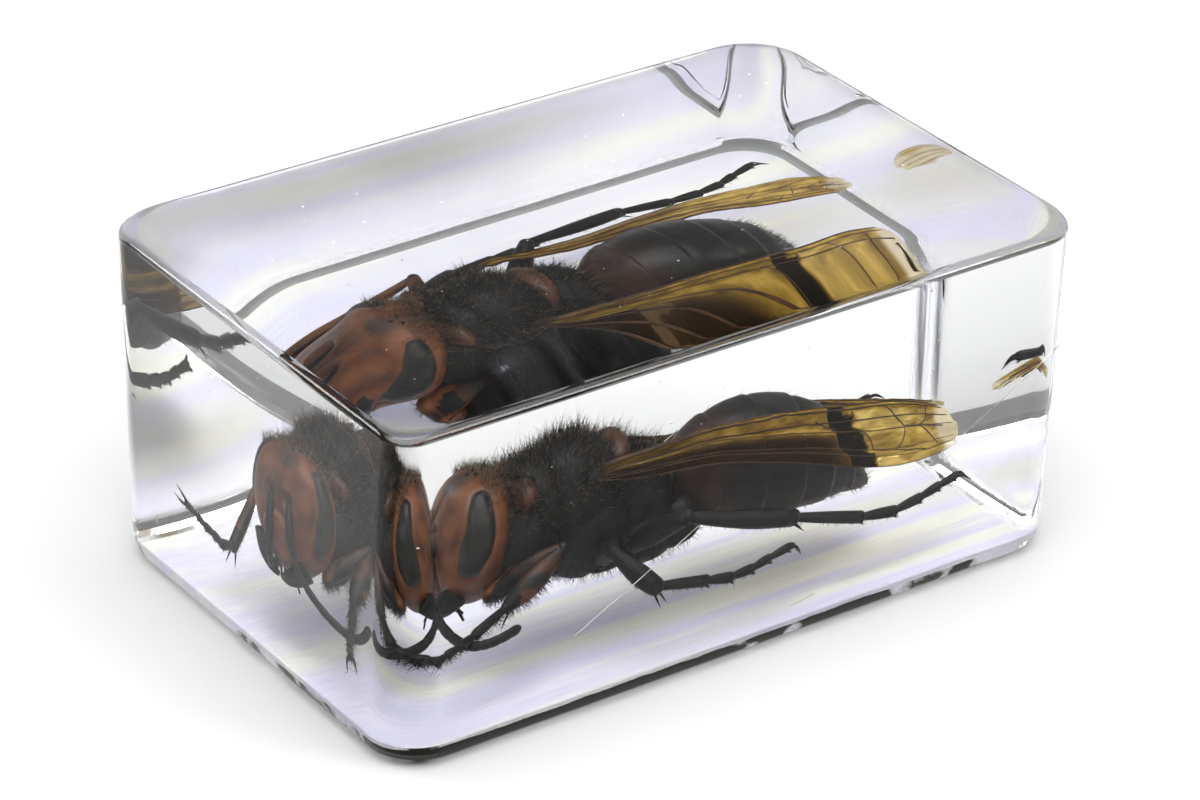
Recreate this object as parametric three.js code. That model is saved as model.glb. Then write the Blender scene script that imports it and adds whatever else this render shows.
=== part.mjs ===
import * as THREE from 'three';

// Clear cast resin block that holds a dried hornet. Millimetres, +Z up.
// It lies on its broad face, with its length along X. The origin is at the middle of the base.

// The block, measured half way up its sides. The height is that of the middle of the top.
const LENGTH = 60;
const WIDTH = 39.6;
const HEIGHT = 27.9;
const CORNER_RADIUS = 4.2;
const CORNER_FACETS = 10;

// One upright corner gets sharper towards the top: its radius at the base and at the top.
const ODD_CORNER = 2;
const ODD_CORNER_RADII = [4.0, 2.2];

// The long edge round the base was eased on a sanding belt.
const BASE_EASE_WIDTH = 1.1;
const BASE_EASE_HEIGHT = 1.8;
const BASE_FACETS = 4;

// Hand polishing has pillowed the top: it falls away towards its rim, and the rim is rounded.
// Its level lines have rounder corners further in: radius added for each millimetre of inset.
const PILLOW_WIDTH = 6;
const PILLOW_DROP = 1.2;
const PILLOW_POWER = 2.4;
const PILLOW_ROUNDING = 2.0;
const PILLOW_INSETS = [1.2, 1.9, 2.7, 3.6, 4.7, 6];
const RIM_WIDTH = 0.7;
const RIM_HEIGHT = 0.6;
const RIM_FACETS = 4;

// The mould opens a little towards its mouth, so the block is larger at the top.
const DRAFT_PER_SIDE = 0.4;

// One quarter circle at each corner, counter-clockwise seen from above, for the level at height z
// that lies this far inside the walls.
function outlinePoints(z, inset) {
  const rounding = z > HEIGHT / 2 ? PILLOW_ROUNDING * inset : 0;
  const points = [];
  const corners = [[1, 1], [-1, 1], [-1, -1], [1, -1]];
  corners.forEach(([sideX, sideY], corner) => {
    const [low, high] = ODD_CORNER_RADII;
    const upright = corner === ODD_CORNER ? low + (high - low) * z / HEIGHT : CORNER_RADIUS;
    const radius = upright + rounding;
    const centreX = sideX * (LENGTH / 2 - radius);
    const centreY = sideY * (WIDTH / 2 - radius);
    for (let i = 0; i <= CORNER_FACETS; i += 1) {
      const angle = (corner + i / CORNER_FACETS) * Math.PI / 2;
      points.push([
        centreX + radius * Math.cos(angle),
        centreY + radius * Math.sin(angle),
      ]);
    }
  });
  return points;
}

function pillowDrop(inset) {
  return PILLOW_DROP * Math.max(0, 1 - inset / PILLOW_WIDTH) ** PILLOW_POWER;
}

// How far in and how high each level of the block lies, from the base to the top.
function blockLevels() {
  const levels = [];
  for (let i = 0; i <= BASE_FACETS; i += 1) {
    const angle = i / BASE_FACETS * Math.PI / 2;
    levels.push([
      BASE_EASE_WIDTH * (1 - Math.sin(angle)),
      BASE_EASE_HEIGHT * (1 - Math.cos(angle)),
    ]);
  }
  const rimTop = HEIGHT - pillowDrop(RIM_WIDTH);
  for (let i = 0; i <= RIM_FACETS; i += 1) {
    const angle = i / RIM_FACETS * Math.PI / 2;
    levels.push([
      RIM_WIDTH * (1 - Math.cos(angle)),
      rimTop - RIM_HEIGHT * (1 - Math.sin(angle)),
    ]);
  }
  PILLOW_INSETS.forEach((inset) => levels.push([inset, HEIGHT - pillowDrop(inset)]));
  return levels;
}

// One solid casting. The hornet lies inside it and fills its own space, so there is no cavity.
function makeResinBlock() {
  const levels = blockLevels();
  const count = outlinePoints(0, 0).length;
  const positions = [];
  levels.forEach(([inset, z]) => {
    const draft = DRAFT_PER_SIDE * (z / HEIGHT - 0.5);
    const scaleX = 1 + (draft - inset) / (LENGTH / 2);
    const scaleY = 1 + (draft - inset) / (WIDTH / 2);
    outlinePoints(z, inset).forEach(([x, y]) => positions.push(x * scaleX, y * scaleY, z));
  });
  const baseCentre = levels.length * count;
  const topCentre = baseCentre + 1;
  positions.push(0, 0, 0, 0, 0, HEIGHT);
  const indices = [];
  for (let i = 0; i < count; i += 1) {
    const next = (i + 1) % count;
    indices.push(baseCentre, next, i);
    for (let level = 0; level < levels.length - 1; level += 1) {
      const low = level * count;
      const high = low + count;
      indices.push(low + i, low + next, high + next, low + i, high + next, high + i);
    }
    const top = (levels.length - 1) * count;
    indices.push(topCentre, top + i, top + next);
  }
  const geometry = new THREE.BufferGeometry();
  geometry.setAttribute('position', new THREE.Float32BufferAttribute(positions, 3));
  geometry.setIndex(indices);
  geometry.computeVertexNormals();
  const clearResin = new THREE.MeshStandardMaterial({
    color: 0xf1f3ee,
    roughness: 0.04,
    metalness: 0,
  });
  const block = new THREE.Mesh(geometry, clearResin);
  block.name = 'resin_block';
  return block;
}

const insectInResin = new THREE.Group();
insectInResin.add(makeResinBlock());

export default insectInResin;
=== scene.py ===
import math
import random
import bmesh
import bpy
import numpy as np
from mathutils import Matrix, Vector, noise


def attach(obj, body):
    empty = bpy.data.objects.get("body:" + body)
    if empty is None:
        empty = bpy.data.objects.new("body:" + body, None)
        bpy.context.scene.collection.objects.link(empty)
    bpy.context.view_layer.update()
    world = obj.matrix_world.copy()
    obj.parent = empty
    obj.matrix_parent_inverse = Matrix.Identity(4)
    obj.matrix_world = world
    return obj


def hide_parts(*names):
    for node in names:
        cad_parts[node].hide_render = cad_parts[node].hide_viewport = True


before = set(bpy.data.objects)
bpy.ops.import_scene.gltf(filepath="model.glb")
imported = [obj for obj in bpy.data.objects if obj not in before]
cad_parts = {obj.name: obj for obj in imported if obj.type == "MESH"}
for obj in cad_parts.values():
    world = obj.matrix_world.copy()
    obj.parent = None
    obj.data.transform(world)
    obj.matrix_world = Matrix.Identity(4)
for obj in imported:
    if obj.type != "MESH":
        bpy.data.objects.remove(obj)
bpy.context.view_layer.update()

MM = 0.001


# ---------------------------------------------------------------------------
# The casting
# One block of water-clear resin, poured round the hornet in two layers. It was sanded on a belt
# and polished by hand, which rounded its corners and rim and left the top pillowed, so that it
# falls away towards the rim. The base was only sanded and stays matt.
# ---------------------------------------------------------------------------
BLOCK_LENGTH = 60.0
BLOCK_WIDTH = 39.6
BLOCK_HEIGHT = 27.9
BLOCK_CORNER = 4.2
BLOCK_DRAFT = 0.4
CORNER_SEGMENTS = 40
ODD_CORNER_LOW = 4.0
ODD_CORNER_HIGH = 2.2
BASE_EASE_WIDTH = 1.1
BASE_EASE_HEIGHT = 1.8
BASE_FLATS = 4
PILLOW_WIDTH = 6.0
PILLOW_DROP = 1.2
PILLOW_POWER = 2.4
PILLOW_ROUNDING = 2.0
PILLOW_RINGS = 16
RIM_WIDTH = 0.7
RIM_HEIGHT = 0.6
RIM_RINGS = 10
SHARPEST_SMOOTH_ANGLE = math.radians(16)
RESIN_IOR = 1.55
BELT_SCRATCH_WIDTH = 0.35
BELT_SCRATCH_STRETCH = 0.06
# Size of the patches of painted colour that polarised light shows in the stressed resin.
POLARISED_STRESS_PATCH = 5.0
# Painted shade along the ground edge of the base, for the dark line where the block stands on the
# card: the size of its patches and how much it thins along the edges.
EDGE_SHADE_PATCH = 3.2
EDGE_SHADE_THINNING = -0.42
# Each direction that the painted shade runs in from the near corner, and where it has thinned out.
EDGE_SHADE_RUNS = (("X", BLOCK_LENGTH, 75.0), ("Y", BLOCK_WIDTH, 18.0))
# Heights between which the painted shade fades out or in, and how much is taken off at each of them.
EDGE_SHADE_WIPES = ((0.1, 0.35, -0.4, 0.0), (1.35, 1.6, 0.0, -0.4))
POLISHED, SANDED, RIM, GROUND_EDGE = range(4)
# Sockets of a Mix node that blends colours.
MIX_FACTOR, MIX_FIRST, MIX_SECOND, MIX_RESULT = 0, 6, 7, 2


def linear(code):
    """Linear colour of an sRGB hex value, with full alpha."""
    channels = [int(code[i:i + 2], 16) / 255 for i in (1, 3, 5)]
    return [c / 12.92 if c <= 0.04045 else ((c + 0.055) / 1.055) ** 2.4 for c in channels] + [1.0]


def add_node(tree, kind, settings=None, inputs=None, stops=()):
    """Add one node. An input is given a plain value or another node's output.

    A colour ramp is also given its stops, as (position, hex colour) pairs.
    """
    node = tree.nodes.new(kind)
    for name, value in (settings or {}).items():
        setattr(node, name, value)
    for name, value in (inputs or {}).items():
        if isinstance(value, bpy.types.NodeSocket):
            tree.links.new(value, node.inputs[name])
        else:
            node.inputs[name].default_value = value
    if stops:
        elements = node.color_ramp.elements
        while len(elements) < len(stops):
            elements.new(0.5)
        for element, (position, code) in zip(elements, stops):
            element.position = position
            element.color = linear(code)
    return node


def new_material(name, shader_inputs):
    """A material with a Principled shader, its tree and the shader."""
    material = bpy.data.materials.new(name)
    material.use_nodes = True
    tree = material.node_tree
    shader = tree.nodes["Principled BSDF"]
    for key, value in shader_inputs.items():
        shader.inputs[key].default_value = value
    return material, tree, shader


def surface_relief(tree, shader, coordinates, grain_mm, height_mm, detail=3.0):
    """Bump of a real grain size and height on a shader. Object coordinates are in metres."""
    grain = add_node(tree, "ShaderNodeTexNoise", inputs={
        "Vector": coordinates,
        "Scale": 1 / (grain_mm * MM),
        "Detail": detail,
    })
    bump = add_node(tree, "ShaderNodeBump", inputs={
        "Height": grain.outputs["Fac"],
        "Strength": 1.0,
        "Distance": height_mm * MM,
    })
    tree.links.new(bump.outputs["Normal"], shader.inputs["Normal"])


def add_piece(name, mesh_data, materials):
    """Make an object from a finished bmesh or mesh, in millimetres, riding on the block."""
    mesh = mesh_data
    if isinstance(mesh_data, bmesh.types.BMesh):
        mesh = bpy.data.meshes.new(name)
        mesh_data.to_mesh(mesh)
        mesh_data.free()
    mesh.transform(Matrix.Scale(MM, 4))
    piece = bpy.data.objects.new(name, mesh)
    bpy.context.scene.collection.objects.link(piece)
    for material in materials:
        mesh.materials.append(material)
    mesh.shade_smooth()
    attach(piece, "root")
    return piece


def pillow_drop(inset):
    """How far the top has fallen at a distance in from its rim."""
    return PILLOW_DROP * max(0.0, 1 - inset / PILLOW_WIDTH) ** PILLOW_POWER


def add_levels(bm, face, levels):
    """Carry a flat cap on through levels of (inset, height, finish). Returns the last cap."""
    inset = 0.0
    for next_inset, height, finish in levels:
        made = bmesh.ops.extrude_face_region(bm, geom=[face])
        bmesh.ops.delete(bm, geom=[face], context="FACES_ONLY")
        face = next(g for g in made["geom"] if isinstance(g, bmesh.types.BMFace))
        for edge in face.edges:
            for neighbour in edge.link_faces:
                neighbour.material_index = finish
        face.material_index = POLISHED
        for vert in face.verts:
            vert.co.x *= (BLOCK_LENGTH / 2 - next_inset) / (BLOCK_LENGTH / 2 - inset)
            vert.co.y *= (BLOCK_WIDTH / 2 - next_inset) / (BLOCK_WIDTH / 2 - inset)
            vert.co.z = height
        inset = next_inset
    return face


def round_corners(bm):
    """Give each level its corners: the near one sharper towards the top, all rounder inwards."""
    levels = {}
    for vert in bm.verts:
        levels.setdefault(round(vert.co.z, 4), []).append(vert)
    for height, verts in levels.items():
        end_x = max(v.co.x for v in verts)
        end_y = max(v.co.y for v in verts)
        pillow = PILLOW_ROUNDING * (BLOCK_LENGTH / 2 - end_x) if height > BLOCK_HEIGHT / 2 else 0.0
        near = ODD_CORNER_LOW + (ODD_CORNER_HIGH - ODD_CORNER_LOW) * height / BLOCK_HEIGHT
        for vert in verts:
            is_near = vert.co.x < 0 and vert.co.y < 0
            growth = ((near if is_near else BLOCK_CORNER) + pillow) / BLOCK_CORNER
            vert.co.x = math.copysign(end_x - (end_x - abs(vert.co.x)) * growth, vert.co.x)
            vert.co.y = math.copysign(end_y - (end_y - abs(vert.co.y)) * growth, vert.co.y)


def block_mesh():
    """A bevelled box, carried on through the ground edge below and the rim and pillow above."""
    rim_top = BLOCK_HEIGHT - pillow_drop(RIM_WIDTH)
    wall_top = rim_top - RIM_HEIGHT
    bm = bmesh.new()
    bmesh.ops.create_cube(bm, size=1.0)
    wall = Vector((BLOCK_LENGTH, BLOCK_WIDTH, wall_top - BASE_EASE_HEIGHT))
    bmesh.ops.scale(bm, vec=wall, verts=bm.verts)
    bmesh.ops.translate(bm, vec=(0, 0, (wall_top + BASE_EASE_HEIGHT) / 2), verts=bm.verts)
    upright = [e for e in bm.edges if abs(e.verts[0].co.z - e.verts[1].co.z) > BASE_EASE_HEIGHT]
    bmesh.ops.bevel(
        bm, geom=upright, affect="EDGES", offset=BLOCK_CORNER, segments=CORNER_SEGMENTS,
        profile=0.5, material=-1,
    )
    bm.faces.ensure_lookup_table()
    # Only the two caps have more than four corners.
    caps = sorted((f for f in bm.faces if len(f.verts) > 4), key=lambda f: f.calc_center_median().z)
    base_levels = []
    for i in range(1, BASE_FLATS + 1):
        angle = i / BASE_FLATS * math.pi / 2
        inset = BASE_EASE_WIDTH * (1 - math.cos(angle))
        base_levels.append((inset, BASE_EASE_HEIGHT * (1 - math.sin(angle)), GROUND_EDGE))
    top_levels = []
    for i in range(1, RIM_RINGS + 1):
        angle = i / RIM_RINGS * math.pi / 2
        inset = RIM_WIDTH * (1 - math.cos(angle))
        top_levels.append((inset, wall_top + RIM_HEIGHT * math.sin(angle), RIM))
    for i in range(1, PILLOW_RINGS + 1):
        inset = RIM_WIDTH + (PILLOW_WIDTH - RIM_WIDTH) * i / PILLOW_RINGS
        top_levels.append((inset, BLOCK_HEIGHT - pillow_drop(inset), POLISHED))
    base = add_levels(bm, caps[0], base_levels)
    base.material_index = SANDED
    add_levels(bm, caps[-1], top_levels)
    round_corners(bm)
    for vert in bm.verts:
        shift = BLOCK_DRAFT * (vert.co.z / BLOCK_HEIGHT - 0.5)
        vert.co.x *= 1 + 2 * shift / BLOCK_LENGTH
        vert.co.y *= 1 + 2 * shift / BLOCK_WIDTH
    bmesh.ops.remove_doubles(bm, verts=bm.verts, dist=0.0005)
    bmesh.ops.recalc_face_normals(bm, faces=bm.faces)
    return bm


def resin(name, roughness, shine, grain_mm, height_mm):
    """Cast resin, clear all through, with a faint cool grey in depth."""
    material, tree, shader = new_material(name, {
        "Base Color": linear("#FFFFFF"),
        "Roughness": roughness,
        "IOR": RESIN_IOR,
        "Transmission Weight": 1.0,
        "Specular Tint": linear(shine),
    })
    place = add_node(tree, "ShaderNodeTexCoord").outputs["Object"]
    surface_relief(tree, shader, place, grain_mm, height_mm, 1.0)
    absorption = add_node(tree, "ShaderNodeVolumeAbsorption", inputs={
        "Color": linear("#E4ECEA"),
        "Density": 4.0,
    })
    tree.links.new(absorption.outputs["Volume"], tree.nodes["Material Output"].inputs["Volume"])
    return material, tree, shader, place


def sanded_resin():
    """Left from the sanding belt: matt and slightly milky, with fine scratches along X.

    The scratches are drawn wider than the belt's grit, so that they show. Broad patches lean to
    violet and to yellow: painted colours of polarised light through stress in the casting.
    """
    material, tree, shader, place = resin("sanded_resin_base", 0.6, "#FFFFFF", 0.12, 0.01)
    stretched = add_node(tree, "ShaderNodeMapping", inputs={
        "Vector": place, "Scale": (BELT_SCRATCH_STRETCH, 1.0, 1.0),
    })
    scratches = add_node(tree, "ShaderNodeTexNoise", inputs={
        "Vector": stretched.outputs["Vector"], "Scale": 1 / (BELT_SCRATCH_WIDTH * MM), "Detail": 4.0,
    })
    milk = add_node(tree, "ShaderNodeMapRange", inputs={
        "Value": scratches.outputs["Fac"], "From Min": 0.3, "From Max": 0.7,
        "To Min": 0.2, "To Max": 0.08,
    })
    polarised_stress = add_node(tree, "ShaderNodeTexNoise", inputs={
        "Vector": stretched.outputs["Vector"], "Scale": 1 / (POLARISED_STRESS_PATCH * MM), "Detail": 2.0,
    })
    tint = add_node(tree, "ShaderNodeMapRange", inputs={
        "Value": polarised_stress.outputs["Fac"], "From Min": 0.4, "From Max": 0.6,
    })
    # Violet and yellow painted for the colours of polarised light in the stressed resin.
    colour = add_node(tree, "ShaderNodeMix", {"data_type": "RGBA"}, {
        MIX_FACTOR: tint.outputs["Result"],
        MIX_FIRST: linear("#E9E6FF"),
        MIX_SECOND: linear("#FBFBF3"),
    })
    tree.links.new(colour.outputs[MIX_RESULT], shader.inputs["Base Color"])
    tree.links.new(milk.outputs["Result"], shader.inputs["Transmission Weight"])
    return material


def ground_edge_resin():
    """The narrow eased edge of the base, ground and not polished.

    A band of painted shade lies in it round the near corner, for the dark line where the block
    stands on the card, and thins out along the edges.
    """
    material, tree, shader, place = resin("painted_shade_ground_edge", 0.08, "#3A3A3A", 0.6, 0.01)
    axes = add_node(tree, "ShaderNodeSeparateXYZ", inputs={"Vector": place})
    patches = add_node(tree, "ShaderNodeTexNoise", inputs={
        "Vector": place, "Scale": 1 / (EDGE_SHADE_PATCH * MM), "Detail": 4.0,
    })
    amount = patches.outputs["Fac"]
    fades = [(a, -0.5 * size, reach - 0.5 * size, 0.0, EDGE_SHADE_THINNING) for a, size, reach in EDGE_SHADE_RUNS]
    fades += [("Z", *wipe) for wipe in EDGE_SHADE_WIPES]
    for axis, low, high, at_low, at_high in fades:
        fade = add_node(tree, "ShaderNodeMapRange", inputs={
            "Value": axes.outputs[axis], "From Min": low * MM, "From Max": high * MM,
            "To Min": at_low, "To Max": at_high,
        })
        amount = add_node(tree, "ShaderNodeMath", {"operation": "ADD"}, {
            0: amount, 1: fade.outputs["Result"],
        }).outputs["Value"]
    # The painted shade, near black where it is full.
    edge_shade = add_node(tree, "ShaderNodeMapRange", {"interpolation_type": "SMOOTHSTEP"}, {
        "Value": amount, "From Min": 0.12, "From Max": 0.26,
    })
    unshaded_part = add_node(tree, "ShaderNodeMath", {"operation": "SUBTRACT"}, {
        0: 1.0, 1: edge_shade.outputs["Result"],
    })
    colour = add_node(tree, "ShaderNodeMix", {"data_type": "RGBA"}, {
        MIX_FACTOR: edge_shade.outputs["Result"],
        MIX_FIRST: linear("#FFFFFF"),
        MIX_SECOND: linear("#17130F"),
    })
    tree.links.new(colour.outputs[MIX_RESULT], shader.inputs["Base Color"])
    tree.links.new(unshaded_part.outputs["Value"], shader.inputs["Transmission Weight"])
    return material


# Walls and top, polished to a gloss with the faint waviness of hand work. Their reflections are
# held down, as through a polarising filter. The rim keeps its own.
polished_resin = resin("polished_clear_resin", 0.0, "#3A3A3A", 7.0, 0.012)[0]
rim_resin = resin("polished_rim_resin", 0.0, "#FFFFFF", 7.0, 0.012)[0]
block_finishes = [polished_resin, sanded_resin(), rim_resin, ground_edge_resin()]
block = add_piece("clear_block", block_mesh(), block_finishes)
block.data.set_sharp_from_angle(angle=SHARPEST_SMOOTH_ANGLE)
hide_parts("resin_block")


# ---------------------------------------------------------------------------
# The hornet's head
# A dried chitin capsule, rust brown and broad, set nearly upright and facing the near end of
# the block. Large black kidney-shaped eyes wrap its sides, and the mouth shield bulges below.
# ---------------------------------------------------------------------------
MIDDLE_Y = 0.7
HEAD_CENTRE = Vector((-16.75, MIDDLE_Y + 0.3, 10.35))
HEAD_PITCH = math.radians(10)
HEAD_YAW = math.radians(7)
HEAD_HALF_WIDTH = 5.1
HEAD_HALF_DEPTH = 3.4
HEAD_HALF_HEIGHT = 5.0
HEAD_BOXINESS = 2.4
JAW_END_TAPER = 0.34
BACK_OF_HEAD = 0.9
SHIELD_UP = -2.5
SHIELD_SCALE = 0.95
SHIELD_RADIUS = 2.1
SHIELD_BULGE = 0.42
SHIELD_GROOVE = 0.12
FURROW_DEPTH = 0.16
# Across and up, where an antenna is rooted.
SOCKET = (1.15, 0.95)
SOCKET_DEPTH = 0.32
SOCKET_RIM = 0.16
SOCKET_RIM_RADIUS = 0.85
EYE_BULGE = 0.28
EYE_GROOVE = 0.1
CHITIN_IOR = 1.56
# Across, forwards, up and radius along the middle of an eye, from its top to its foot.
EYE_LINE = (
    (3.25, 0.6, 3.7, 0.85),
    (3.95, 0.6, 2.9, 1.08),
    (4.4, 0.5, 1.8, 1.25),
    (4.35, 0.6, 0.5, 1.4),
    (4.05, 0.8, -0.7, 1.25),
)
head_place = (
    Matrix.Translation(HEAD_CENTRE)
    @ Matrix.Rotation(-HEAD_YAW, 4, "Z")
    @ Matrix((
        (0, -math.cos(HEAD_PITCH), math.sin(HEAD_PITCH), 0),
        (1, 0, 0, 0),
        (0, math.sin(HEAD_PITCH), math.cos(HEAD_PITCH), 0),
        (0, 0, 0, 1),
    ))
)


def bump_at(distance, width):
    """A smooth bell, 1 at no distance."""
    return math.exp(-(distance / width) ** 2)


def smooth_step(low, high, value):
    """0 at low and 1 at high, with a soft start and end."""
    t = min(1.0, max(0.0, (value - low) / (high - low)))
    return t * t * (3 - 2 * t)


def through(points, steps):
    """Points on a smooth curve through the given points, which may carry further numbers."""
    rows = [tuple(p) for p in points]
    rows = [tuple(2 * a - b for a, b in zip(rows[0], rows[1]))] + rows
    rows.append(tuple(2 * a - b for a, b in zip(rows[-1], rows[-2])))
    out = []
    for i in range(1, len(rows) - 2):
        for step in range(steps):
            t = step / steps
            out.append(tuple(
                0.5 * (2 * p1 + (p2 - p0) * t + (2 * p0 - 5 * p1 + 4 * p2 - p3) * t * t
                       + (3 * p1 - p0 - 3 * p2 + p3) * t ** 3)
                for p0, p1, p2, p3 in zip(rows[i - 1], rows[i], rows[i + 1], rows[i + 2])
            ))
    out.append(rows[-2])
    return out


eye_lobes = through(EYE_LINE, 5)


def eye_depth(point):
    """How far a point of the head lies inside the outline of an eye, in millimetres."""
    folded = Vector((abs(point.x), point.y, point.z))
    return max(lobe[3] - (folded - Vector(lobe[:3])).length for lobe in eye_lobes)


def from_shield(point):
    """Distance from the middle of the mouth shield, seen from in front."""
    return math.hypot(point.x * SHIELD_SCALE, (point.z - SHIELD_UP) * SHIELD_SCALE)


def from_socket(point):
    """Distance from the nearer antenna's root, seen from in front."""
    return math.hypot(abs(point.x) - SOCKET[0], point.z - SOCKET[1])


def head_surface(direction):
    """The head's surface in its own frame: x across, y forwards and z up."""
    a, b, c = direction
    reach = (
        abs(a / HEAD_HALF_WIDTH) ** HEAD_BOXINESS
        + abs(b / HEAD_HALF_DEPTH) ** HEAD_BOXINESS
        + abs(c / HEAD_HALF_HEIGHT) ** HEAD_BOXINESS
    ) ** (-1 / HEAD_BOXINESS)
    point = Vector(direction) * reach
    if point.z < 0:
        point.x *= 1 - JAW_END_TAPER * (-point.z / HEAD_HALF_HEIGHT) ** 1.6
    if point.y < 0:
        point.y *= BACK_OF_HEAD
        return point
    front = smooth_step(0.3, 1.6, point.y)
    point.y += SHIELD_BULGE * smooth_step(2.3, 1.5, from_shield(point)) * front
    point.y -= SHIELD_GROOVE * bump_at(from_shield(point) - SHIELD_RADIUS, 0.16) * front
    point.y -= FURROW_DEPTH * bump_at(point.x, 0.22) * bump_at(point.z - 2.4, 1.5) * front
    point.y -= SOCKET_DEPTH * bump_at(from_socket(point), 0.5) * front
    point.y += SOCKET_RIM * bump_at(from_socket(point) - SOCKET_RIM_RADIUS, 0.3) * front
    return point


def head_mesh():
    """The capsule. Attributes carry the depth inside an eye, and the dark marks of the face."""
    bm = bmesh.new()
    bmesh.ops.create_uvsphere(bm, u_segments=176, v_segments=120, radius=1.0)
    eye_layer = bm.verts.layers.float.new("eye")
    mark_layer = bm.verts.layers.float.new("mark")
    for vert in bm.verts:
        point = head_surface(vert.co.normalized())
        depth = eye_depth(point)
        outward = Vector((point.x, point.y * 2.0, point.z * 0.6)).normalized()
        lift = EYE_BULGE * smooth_step(0.0, 0.5, depth)
        lift -= EYE_GROOVE * bump_at(depth + 0.03, 0.09)
        lift += 0.025 * noise.noise(point * 0.9) + 0.02 * noise.noise(point * 2.3)
        vert.co = point + outward * lift
        vert[eye_layer] = depth
        face = smooth_step(0.5, 1.5, point.y)
        crown = smooth_step(1.35, 0.5, math.hypot(point.x * 0.62, point.z - 4.2))
        brow = smooth_step(0.9, 0.2, math.hypot(point.x * 0.6, (point.z - 2.1) * 0.55)) * face
        under = smooth_step(-3.6, -4.6, point.z)
        socket = bump_at(from_socket(point), 0.55)
        seam = bump_at(from_shield(point) - SHIELD_RADIUS, 0.18) * face
        back = smooth_step(-1.3, -2.2, point.y)
        between = smooth_step(2.6, 1.4, abs(point.x)) * smooth_step(-0.9, 0.2, point.z)
        between *= smooth_step(3.6, 2.2, point.z) * face
        patchy = 0.75 + 0.5 * noise.noise(point * 0.8)
        vert[mark_layer] = min(1.0, max(
            0.9 * crown, 0.35 * brow, 0.85 * under, 0.8 * socket, 0.6 * seam, back,
            0.62 * between * patchy,
        ))
    bmesh.ops.transform(bm, matrix=head_place, verts=bm.verts)
    return bm


def mottled_finish(name, shader_inputs, patch_mm, detail, *ranges, pits=None):
    """A finish whose colour drifts through a range of stops over patches of a real size.

    More ranges give further colours that drift alike, to blend in afterwards. pits are the
    width and height of a relief. Returned are the material, tree, shader, coordinates, drift
    and colours.
    """
    material, tree, shader = new_material(name, shader_inputs)
    place = add_node(tree, "ShaderNodeTexCoord").outputs["Object"]
    patches = add_node(tree, "ShaderNodeTexNoise", inputs={
        "Vector": place, "Scale": 1 / (patch_mm * MM), "Detail": detail,
    })
    drift = patches.outputs["Fac"]
    colours = [
        add_node(tree, "ShaderNodeValToRGB", inputs={"Fac": drift}, stops=stops).outputs["Color"]
        for stops in ranges
    ]
    tree.links.new(colours[0], shader.inputs["Base Color"])
    if pits:
        surface_relief(tree, shader, place, *pits)
    return material, tree, shader, place, drift, colours


def head_chitin():
    """Rust-brown chitin, a satin skin with fine pits, darker blotches and black glossy eyes."""
    material, tree, shader, _, _, (skin, dark, facets) = mottled_finish(
        "rust_brown_chitin", {"Roughness": 0.38, "IOR": CHITIN_IOR, "Specular IOR Level": 0.25},
        1.6, 4.0,
        ((0.3, "#402212"), (0.5, "#5E3419"), (0.7, "#71411D")),
        ((0.3, "#1E1712"), (0.7, "#35241A")),
        ((0.3, "#0E0D0A"), (0.7, "#1E1C17")),
        pits=(0.16, 0.03),
    )
    mark = add_node(tree, "ShaderNodeAttribute", {"attribute_name": "mark"})
    marked_skin = add_node(tree, "ShaderNodeMix", {"data_type": "RGBA"}, {
        MIX_FACTOR: mark.outputs["Fac"], MIX_FIRST: skin, MIX_SECOND: dark,
    })
    eye = add_node(tree, "ShaderNodeAttribute", {"attribute_name": "eye"})
    inside_eye = add_node(tree, "ShaderNodeMapRange", inputs={
        "Value": eye.outputs["Fac"], "From Min": -0.03, "From Max": 0.03,
    })
    colour = add_node(tree, "ShaderNodeMix", {"data_type": "RGBA"}, {
        MIX_FACTOR: inside_eye.outputs["Result"],
        MIX_FIRST: marked_skin.outputs[MIX_RESULT],
        MIX_SECOND: facets,
    })
    tree.links.new(colour.outputs[MIX_RESULT], shader.inputs["Base Color"])
    return material


rust_chitin = head_chitin()
head = add_piece("hornet_head", head_mesh(), [rust_chitin])


# ---------------------------------------------------------------------------
# The single eyes on the crown
# Three glassy beads of black chitin, grown in a triangle on the dark patch between the tops of
# the large eyes.
# ---------------------------------------------------------------------------
# Across, forwards and up in the head's own frame.
CROWN_EYES = ((0, 1.15, 4.72), (-0.5, 0.55, 4.93), (0.5, 0.55, 4.93))
CROWN_EYE_RADIUS = 0.24


def black_chitin():
    """Near-black chitin of the body, satin, with fine pits and faintly brown high spots."""
    return mottled_finish(
        "black_brown_chitin", {"Roughness": 0.42, "IOR": CHITIN_IOR, "Specular IOR Level": 0.15},
        1.1, 4.0, ((0.3, "#080706"), (0.52, "#0E0C0A"), (0.72, "#1A140F")), pits=(0.14, 0.035),
    )[0]


dark_chitin = black_chitin()


def add_ball(bm, centre, radii, segments=20, turn=None):
    """An ellipsoid, added to a bmesh."""
    made = bmesh.ops.create_uvsphere(
        bm, u_segments=segments, v_segments=segments * 2 // 3, radius=1.0,
    )
    place = Matrix.Translation(centre) @ (turn or Matrix()) @ Matrix.Diagonal((*radii, 1))
    bmesh.ops.transform(bm, matrix=place, verts=made["verts"])
    return made["verts"]


def ocelli_mesh():
    """Three half-sunk beads."""
    bm = bmesh.new()
    for place in CROWN_EYES:
        add_ball(bm, head_place @ Vector(place), (CROWN_EYE_RADIUS,) * 3)
    return bm


add_piece("crown_eyes", ocelli_mesh(), [dark_chitin])


# ---------------------------------------------------------------------------
# The mouth parts
# Two broad jaws of black chitin that meet under the shield, and four thin feelers that hang
# behind them.
# ---------------------------------------------------------------------------
# Across, forwards, up and radius, in the head's own frame.
JAW_LINE = (
    (3.1, 1.3, -3.35, 1.15), (2.3, 1.95, -4.45, 0.9), (1.2, 2.2, -5.2, 0.6), (0.2, 2.0, -5.5, 0.3),
)
JAW_FLATNESS = 0.6
# How far each feeler hangs down, and how far from the middle it starts.
FEELERS = ((1.5, 0.9), (1.1, 0.35))


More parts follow.
